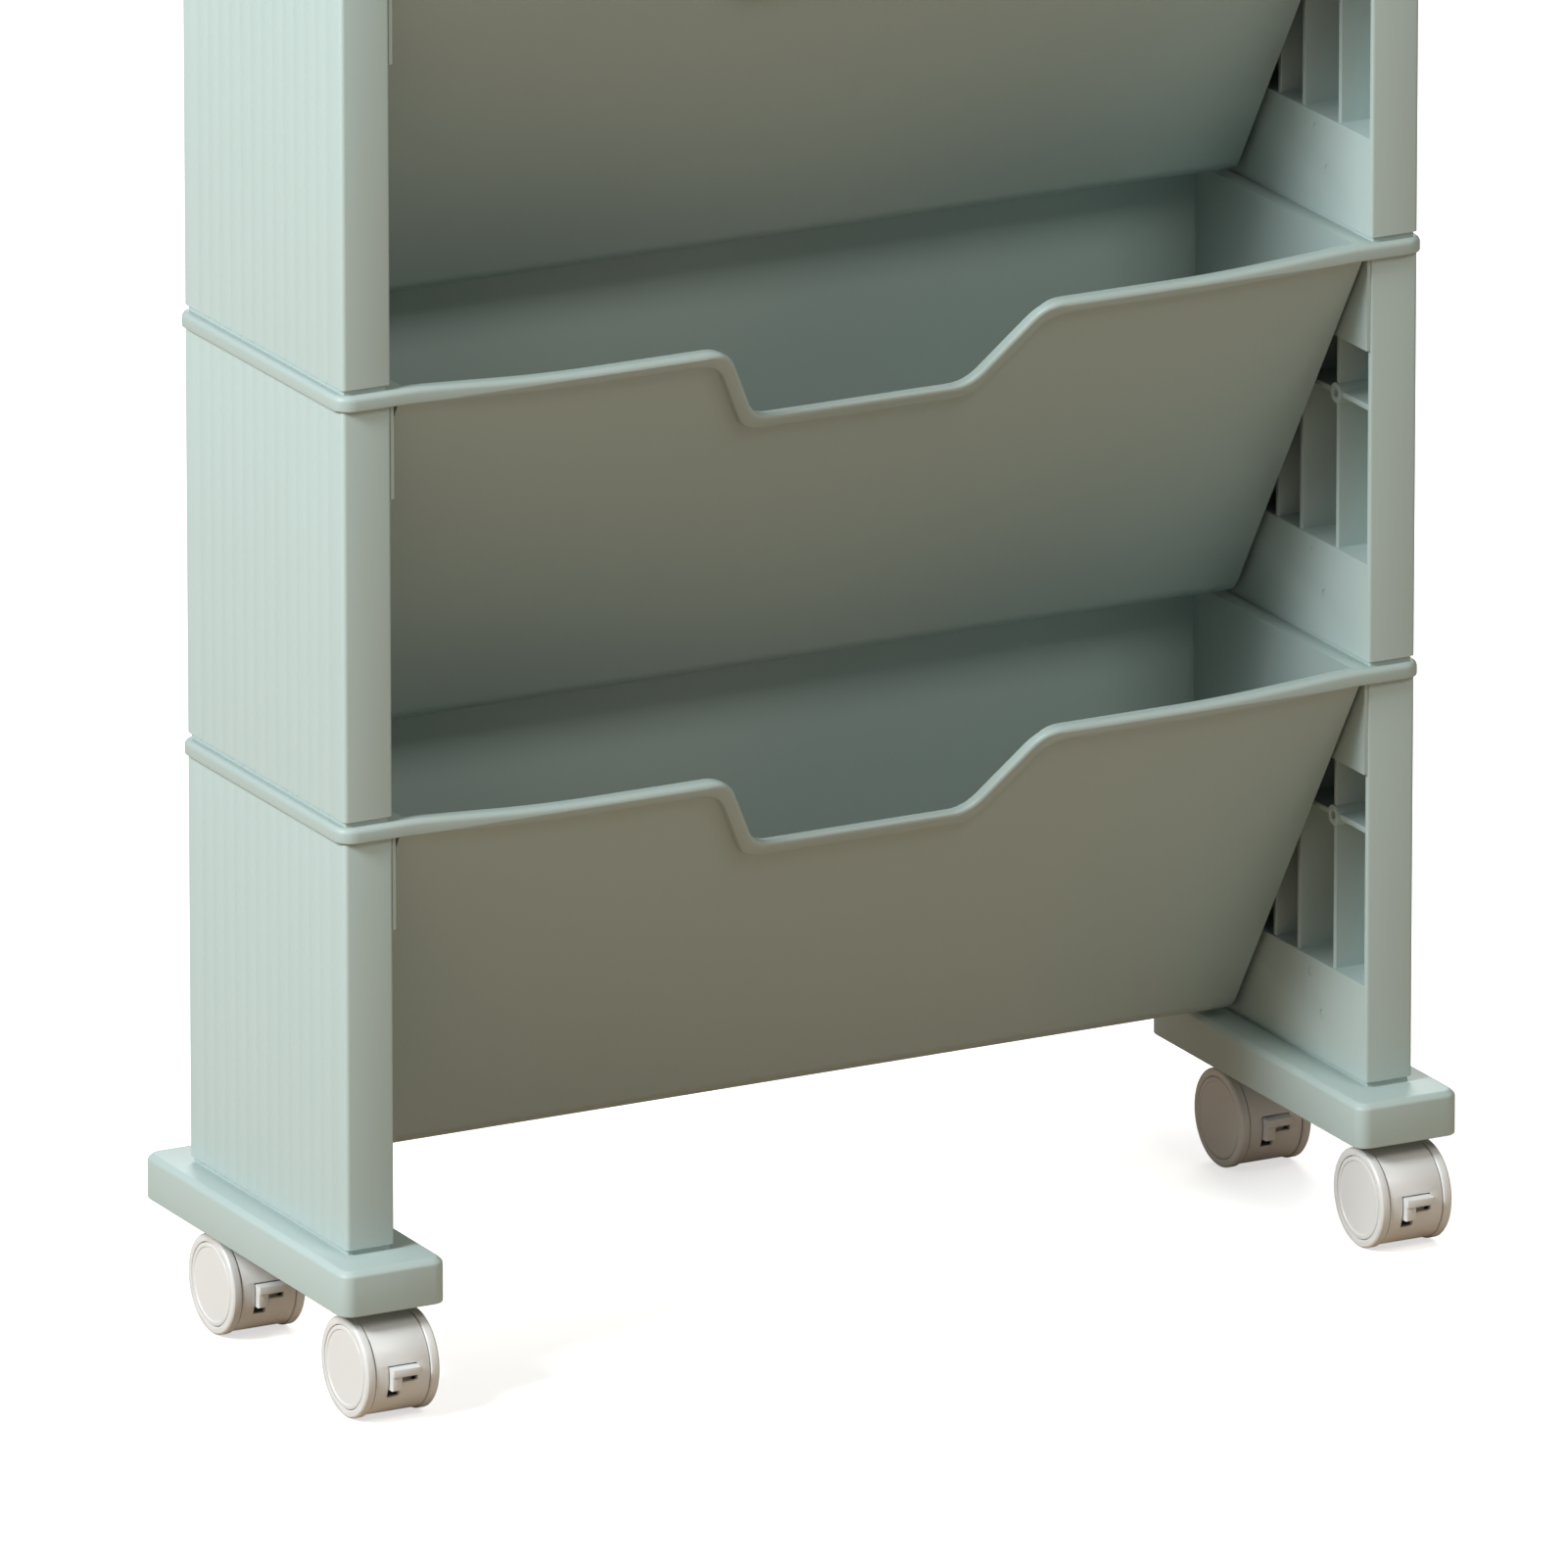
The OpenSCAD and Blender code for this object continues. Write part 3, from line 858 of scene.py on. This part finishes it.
@dataclass
class Trays:
    """The slanted trays with their rolled rims, modelled once and copied up the cart.

    Sizes are in millimetres from the middle of the rim's top.
    """

    names: tuple[str, ...] = ("tray_1", "tray_2", "tray_3")
    edge: RimEdge = field(default_factory=RimEdge)
    half_w: float = 195.0
    half_d: float = 57.5
    corner_r: float = 6.0
    corner_steps: int = 6
    rim_h: float = 5.0
    slope: float = 0.63244
    top_round: float = 1.9
    top_steps: int = 6
    low_round: float = 0.45
    low_steps: int = 3
    spare: float = 0.4

    def lean(self, z: float) -> float:
        """How far the front has leaned back at a height."""
        return self.slope * max(0.0, -z - self.rim_h)

    def stations(self) -> list[Station]:
        """List the stops round the rim, from the front's edge and back to it.

        Returns:
            The stations, the last the same as the first.
        """
        top, low = self.edge.lowered(0), self.edge.lowered(self.rim_h)
        stops = [Station((p.x, p.y), second=(q.x, q.y)) for p, q in zip(top, low)]
        flat_x, flat_y = self.half_w - self.corner_r, self.half_d - self.corner_r
        for centre, first in (
            ((flat_x, -flat_y), 270),
            ((flat_x, flat_y), 0),
            ((-flat_x, flat_y), 90),
            ((-flat_x, -flat_y), 180),
        ):
            for outward in quarter_arc((0, 0), 1, first, self.corner_steps):
                stops.append(Station(centre, outward=outward))
        return stops + stops[:1]

    def ring(self, name: str, section: list[tuple[float, float]]) -> bpy.types.Object:
        """Sweep a section round the rim, through the dip and the notch.

        Args:
            name: The ring's name.
            section: Closed points, as distance in from the outline and depth.

        Returns:
            The ring, a closed body.
        """
        stations = self.stations()

        def place(i: int, j: int) -> Vector:
            """Put point j of the section at station i."""
            stop = stations[i]
            inward, down = section[j]
            if stop.second:
                t = down / self.rim_h
                x = stop.first[0] + t * (stop.second[0] - stop.first[0])
                z = stop.first[1] + t * (stop.second[1] - stop.first[1])
                return Vector((x, inward - self.half_d + self.lean(z), z))
            reach = self.corner_r - inward
            return Vector(
                (
                    stop.first[0] + reach * stop.outward[0],
                    stop.first[1] + reach * stop.outward[1],
                    -down,
                )
            )

        return grid_piece(name, len(stations), len(section), place)

    def top_waste(self) -> bpy.types.Object:
        """Make the sharp corner that is taken off the rim's outer top edge.

        Returns:
            A closed ring.
        """
        outside, radius = -self.spare, self.top_round
        section = [
            (outside, outside),
            (outside, radius),
            *quarter_arc((radius, radius), radius, 180, self.top_steps),
            (radius, outside),
            (outside, outside),
        ]
        return self.ring("rim_top_waste", section)

    def low_waste(self) -> bpy.types.Object:
        """Make the sharp corner that is taken off the rim's outer lower edge.

        Returns:
            A closed ring.
        """
        outside, radius = -self.spare, self.low_round
        under, above = self.rim_h + self.spare, self.rim_h - radius
        section = [
            (outside, under),
            (radius, under),
            *quarter_arc((radius, above), radius, 90, self.low_steps),
            (outside, above),
            (outside, under),
        ]
        return self.ring("rim_low_waste", section)

    def build(self, finishes: Finishes) -> None:
        """Round the first tray's rim and copy the tray to the others.

        Args:
            finishes: The cart's materials.
        """
        first = self.names[0]
        low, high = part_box(first)
        middle = Vector(((low.x + high.x) / 2, (low.y + high.y) / 2, high.z))
        master = merged_copy(first, f"{first}_moulding")
        master.data.transform(Matrix.Translation(-middle))
        cut(master, self.top_waste())
        cut(master, self.low_waste())
        weld(master)
        master.data.transform(Matrix.Translation(middle))
        finish_piece(master, (first,), Slot.TRAY, finishes)
        for name in self.names[1:]:
            copy = placed_copy(master, f"{name}_moulding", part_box(name)[0] - low)
            finish_piece(copy, (name,), Slot.TRAY, finishes)


@dataclass
class SidePanels:
    """The hollow fluted side panels, three tiers a side.

    The pin marks' places are millimetres from the panel's middle and up from its foot.
    """

    tiers: tuple[int, ...] = (1, 2, 3)
    edge_round: float = 0.3 * MM
    lip_round: float = 0.9 * MM
    groove_height: float = 2.5 * MM
    peg_length: float = 12 * MM
    pin_marks: tuple[tuple[float, float], ...] = ((-18.0, 29.0), (-26.0, 17.0))
    pin_radius: float = 1.6 * MM
    pin_sink: float = 0.25 * MM
    pin_sides: int = 24

    def rounding(self, low: Vector, high: Vector) -> EdgeRule:
        """Leave the seat groove sharp and round the flanges' inner lips most.

        Args:
            low: The low corner of the panel's box.
            high: The high corner of the panel's box.

        Returns:
            The rule for the panel's edges.
        """
        inner = min(abs(low.x), abs(high.x))
        groove_top = low.z + self.peg_length + self.groove_height

        def width(edge: EdgeView) -> float:
            """The rounding of one edge."""
            if edge.middle.z < groove_top:
                return 0.0
            at_lip = abs(abs(edge.middle.x) - inner) < NEAR_PLANE
            at_face = min(edge.middle.y - low.y, high.y - edge.middle.y) < NEAR_PLANE
            return self.lip_round if at_lip and at_face else self.edge_round

        return width

    def mark(self, panel: bpy.types.Object, low: Vector, high: Vector) -> None:
        """Sink the two shallow ejector-pin marks into a panel's kick plate.

        Args:
            panel: The panel's copy.
            low: The low corner of the panel's box.
            high: The high corner of the panel's box.
        """
        face_x = low.x if abs(low.x) < abs(high.x) else high.x
        middle_y = (low.y + high.y) / 2
        foot = low.z + self.peg_length
        for y, z in self.pin_marks:
            centre = Vector((face_x, middle_y + y * MM, foot + z * MM))
            cut(
                panel,
                sideways_cylinder(centre, self.pin_radius, 2 * self.pin_sink, self.pin_sides),
            )
        weld(panel)

    def build(self, finishes: Finishes) -> None:
        """Model each side's lowest panel and copy it up the tiers.

        Args:
            finishes: The cart's materials.
        """
        for side in Side:
            nodes = [f"tier{tier}_panel_{side.value}" for tier in self.tiers]
            first = nodes[0]
            low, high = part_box(first)
            master = merged_copy(first, f"{first}_moulding")
            soften_edges(master, self.rounding(low, high))
            self.mark(master, low, high)
            finish_piece(master, (first,), Slot.PANEL, finishes)
            for node in nodes[1:]:
                copy = placed_copy(master, f"{node}_moulding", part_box(node)[0] - low)
                finish_piece(copy, (node,), Slot.PANEL, finishes)


@dataclass
class FootBars:
    """The two foot bars under the side panels."""

    top_round: float = 0.6 * MM
    edge_round: float = 0.4 * MM
    chamfer_room: float = 2 * MM
    chamfer_angle: float = math.radians(60)

    def rounding(self, top: float) -> EdgeRule:
        """Round the chamfer at the top more than the rest.

        Args:
            top: The height of the bar's top.

        Returns:
            The rule for the bar's edges.
        """

        def width(edge: EdgeView) -> float:
            """The rounding of one edge."""
            near_top = edge.middle.z > top - self.chamfer_room
            shallow = edge.angle < self.chamfer_angle
            return self.top_round if near_top and shallow else self.edge_round

        return width

    def build(self, finishes: Finishes) -> None:
        """Model each foot bar.

        Args:
            finishes: The cart's materials.
        """
        for side in Side:
            node = f"foot_{side.value}"
            bar = merged_copy(node, f"{node}_moulding")
            soften_edges(bar, self.rounding(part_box(node)[1].z))
            finish_piece(bar, (node,), Slot.FOOT, finishes)


@dataclass
class Castors:
    """Four twin-wheel castors with their press-down brakes.

    One castor is modelled. The castors on its own side are plain copies of it, and on the
    other side outer and inner change places.
    """

    master_corner: Corner = Corner.FRONT_RIGHT
    other_side: tuple[Corner, ...] = (Corner.FRONT_LEFT, Corner.REAR_LEFT)
    hood_round: float = 0.22 * MM
    wheel_round: float = 0.18 * MM
    edge_steps: int = 2
    tab_round: float = 0.4 * MM
    tab_out: float = 3.1 * MM
    neck_room: float = 7.4 * MM
    cap_lip: float = 0.9 * MM
    cap_step: float = 0.35 * MM
    cap_dish: float = 0.3 * MM
    cap_round: float = 0.4 * MM
    cap_sides: int = 96
    cap_round_steps: int = 3
    steel_pieces: tuple[str, ...] = ("stem", "grip_ring", "axle")
    masters: dict[str, bpy.types.Object] = field(default_factory=dict)

    def cap(self, node: str, outward: int) -> bpy.types.Object:
        """Turn a wheel's cap from a cylinder: a soft lip round a shallow dish.

        Args:
            node: The CAD cap that it follows.
            outward: 1 if its face points to +X, -1 if to -X.

        Returns:
            The cap.
        """
        low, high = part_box(node)
        radius = (high.z - low.z) / 2
        cap = sideways_cylinder(box_centre(node), radius, high.x - low.x, self.cap_sides)
        cap.name = f"{node}_turned"
        face_x = high.x if outward > 0 else low.x
        with editing(cap):
            pick_edges(cap, lambda edge: all(abs(v.co.x - face_x) < ON_PLANE for v in edge.verts))
            bpy.ops.mesh.bevel(
                offset=self.cap_round, segments=self.cap_round_steps, affect="EDGES"
            )
            bpy.ops.mesh.select_all(action="DESELECT")
            pick_faces(cap, lambda face: face.normal.x * outward > SQUARE_ON)
            bpy.ops.mesh.inset(thickness=self.cap_lip, depth=0)
            bpy.ops.mesh.inset(thickness=self.cap_step, depth=-self.cap_dish)
        return cap

    def roundings(self) -> dict[str, EdgeRule]:
        """Make the edge rules of the moulded pieces.

        Returns:
            A rule by piece.
        """
        home = self.master_corner.value
        stem = box_centre(f"{home}_stem")
        tab_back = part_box(f"{home}_brake")[0].y + self.tab_out

        def hood_width(edge: EdgeView) -> float:
            """Round the hood's rims, but not where its neck runs in."""
            to_stem = (edge.middle - stem).xy.length
            return 0.0 if to_stem < self.neck_room else self.hood_round

        def tab_width(edge: EdgeView) -> float:
            """Round only the tab's and the leg's edges that stand out."""
            return self.tab_round if edge.middle.y < tab_back and edge.convex else 0.0

        def wheel_width(_: EdgeView) -> float:
            """Round every edge of a wheel alike."""
            return self.wheel_round

        return {
            "hood": hood_width,
            "brake": tab_width,
            "wheel_outer": wheel_width,
            "wheel_inner": wheel_width,
        }

    def source(self, piece: str, corner: Corner) -> str:
        """Name the modelled piece that stands for one at a corner.

        Args:
            piece: The piece at the corner.
            corner: The corner.

        Returns:
            The piece of the modelled castor.
        """
        kind, _, end = piece.partition("_")
        if corner in self.other_side and end:
            return f"{kind}_{'inner' if end == 'outer' else 'outer'}"
        return piece

    def build(self, finishes: Finishes) -> None:
        """Model one castor's pieces and copy them to each corner.

        Args:
            finishes: The cart's materials.
        """
        home = self.master_corner.value
        for piece, rule in self.roundings().items():
            master = merged_copy(f"{home}_{piece}", f"{home}_{piece}_moulding")
            soften_edges(master, rule, segments=self.edge_steps)
            self.masters[piece] = master
        for piece, outward in (("cap_outer", 1), ("cap_inner", -1)):
            self.masters[piece] = self.cap(f"{home}_{piece}", outward)
        for corner in Corner:
            for piece, own in self.masters.items():
                node = f"{corner.value}_{piece}"
                obj = own
                if corner != self.master_corner:
                    source = self.source(piece, corner)
                    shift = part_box(node)[0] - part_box(f"{home}_{source}")[0]
                    obj = placed_copy(self.masters[source], f"{node}_moulding", shift)
                finish_piece(obj, (node,), Slot.CASTOR, finishes)
            for piece in self.steel_pieces:
                finishes.dress_node(f"{corner.value}_{piece}", Slot.PIN)


# ---- studio ----


@dataclass(frozen=True)
class SoftLight:
    """A square soft light: where it hangs and aims in metres, its side, watts and colour."""

    name: str
    place: Point
    aim: Point
    size: float
    power: float
    colour: Colour

    def hang(self) -> None:
        """Hang the light and turn it to the point that it lights."""
        bpy.ops.object.select_all(action="DESELECT")
        bpy.ops.object.light_add(type="AREA", location=self.place)
        lamp = bpy.context.object
        lamp.name = self.name
        lamp.data.size = self.size
        lamp.data.energy = self.power
        lamp.data.color = self.colour
        facing = Vector(self.aim) - Vector(self.place)
        lamp.rotation_euler = facing.to_track_quat("-Z", "Y").to_euler()


CART_MIDDLE: Point = (0, 0, 0.25)
LIGHTS = (
    SoftLight("key_light", (-2.5, -0.40, 2.0), CART_MIDDLE, 0.9, 106, (0.93, 0.975, 1.0)),
    SoftLight("front_top", (0.5, -2.3, 2.5), CART_MIDDLE, 1.0, 24, (1.0, 0.98, 0.90)),
    SoftLight("back_fill", (1.3, 2.6, 1.8), CART_MIDDLE, 1.4, 34, (1.0, 0.985, 0.95)),
    SoftLight("front_fill", (1.2, -3.2, 0.7), (0, 0, 0.2), 1.6, 5, (1.0, 0.84, 0.66)),
)


@dataclass
class Studio:
    """The pale floor, the soft lights, the air round them and the camera."""

    floor_radius: float = 30.0
    floor_sides: int = 96
    floor_drop: float = 0.0002
    floor_paint: Colour = (0.93, 0.93, 0.93)
    floor_glow: float = 0.62
    floor_bounce: Colour = (0.44, 0.33, 0.235)
    air: Colour = (1.0, 0.97, 0.93)
    air_strength: float = 0.21
    target: Vector = field(default_factory=lambda: Vector((-9.4, -0.35, 167.4)) * MM)
    towards: Vector = field(default_factory=lambda: Vector((-0.44527, -0.84395, 0.29914)))
    distance: float = 8774 * MM
    lens: float = 629.6
    sensor: float = 36.0
    far_clip: float = 200.0

    def build(self) -> None:
        """Set the floor, the lights, the air and the camera."""
        self.lay_floor()
        for light in LIGHTS:
            light.hang()
        self.fill_air()
        self.stand_camera()

    def lay_floor(self) -> None:
        """Lay a wide pale floor that bounces a little warmth up into the cart."""
        bpy.ops.object.select_all(action="DESELECT")
        bpy.ops.mesh.primitive_circle_add(
            vertices=self.floor_sides,
            radius=self.floor_radius,
            fill_type="NGON",
            location=(0, 0, -self.floor_drop),
        )
        floor = bpy.context.object
        floor.name = "studio_floor"
        made, sheet = start_material("studio_floor_paint")
        bounce = sheet.add("ShaderNodeBsdfDiffuse", {"Color": (*self.floor_bounce, 1)})
        paint = sheet.add("ShaderNodeBsdfDiffuse", {"Color": (*self.floor_paint, 1)})
        glow = sheet.add(
            "ShaderNodeEmission", {"Color": (1, 1, 1, 1), "Strength": self.floor_glow}
        )
        seen = sheet.add("ShaderNodeAddShader", {0: paint.outputs[0], 1: glow.outputs[0]})
        mix = seen_or_felt(sheet, seen, bounce)
        sheet.add("ShaderNodeOutputMaterial", {"Surface": mix.outputs[0]})
        floor.data.materials.append(made)

    def fill_air(self) -> None:
        """Fill the air with a pale light, seen as white."""
        world = bpy.data.worlds.new("pale_air")
        bpy.context.scene.world = world
        world.use_nodes = True
        sheet = NodeSheet(world.node_tree)
        air = sheet.add(
            "ShaderNodeBackground", {"Color": (*self.air, 1), "Strength": self.air_strength}
        )
        white = sheet.add("ShaderNodeBackground", {"Color": (1, 1, 1, 1), "Strength": 1.0})
        mix = seen_or_felt(sheet, white, air)
        sheet.add("ShaderNodeOutputWorld", {"Surface": mix.outputs[0]})

    def stand_camera(self) -> None:
        """Stand the camera at the product shot's angle."""
        place = self.target + self.towards.normalized() * self.distance
        bpy.ops.object.select_all(action="DESELECT")
        bpy.ops.object.camera_add(location=place)
        camera = bpy.context.object
        camera.name = "product_camera"
        camera.rotation_euler = (self.target - place).to_track_quat("-Z", "Y").to_euler()
        camera.data.lens = self.lens
        camera.data.sensor_width = self.sensor
        camera.data.clip_end = self.far_clip
        bpy.context.scene.camera = camera
        settings = bpy.context.scene.view_settings
        settings.view_transform = "Standard"
        settings.look = "None"


def main() -> None:
    """Build the cart's visible pieces in order, then the studio."""
    logging.basicConfig(level=logging.INFO, format="%(name)s: %(message)s")
    finishes = Finishes()
    finishes.build()
    for assembly in (Trays(), SidePanels(), FootBars(), Castors()):
        assembly.build(finishes)
    Studio().build()
    bpy.ops.object.select_all(action="DESELECT")


if __name__ == "__main__":
    main()
